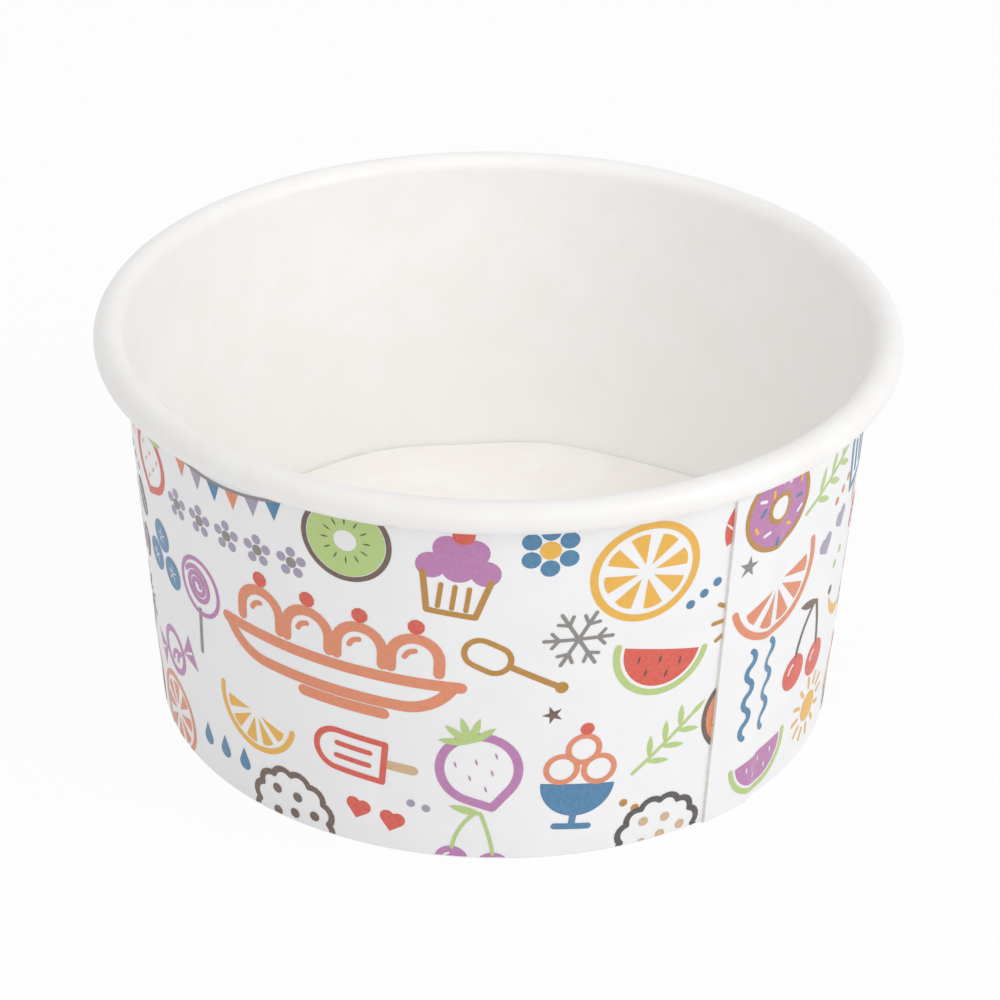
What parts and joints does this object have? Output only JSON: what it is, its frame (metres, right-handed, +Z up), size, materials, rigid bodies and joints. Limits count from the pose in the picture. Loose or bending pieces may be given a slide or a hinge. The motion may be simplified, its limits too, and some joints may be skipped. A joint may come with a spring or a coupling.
{
  "type": "paper dessert cup",
  "caption": "Wide, low paper dessert cup: conical side wall with a rolled rim and a glued overlap seam, folded at the foot round a recessed floor.",
  "frame": {"origin": "on the cup's axis, at the table that the foot stands on", "axes": "+Z up along the axis, from the foot to the rim; -Y is the cup's front, with the glued seam to the right of it"},
  "size_m": [0.096, 0.096, 0.0502],
  "materials": {
    "coated_board": "white paperboard with a satin polyethylene coat, printed outside in several colours",
    "floor_board": "plain white paperboard with a satin polyethylene coat"
  },
  "bodies": {
    "root": {"side_wall": "coated_board", "floor_disc": "floor_board"}
  },
  "joints": []
}
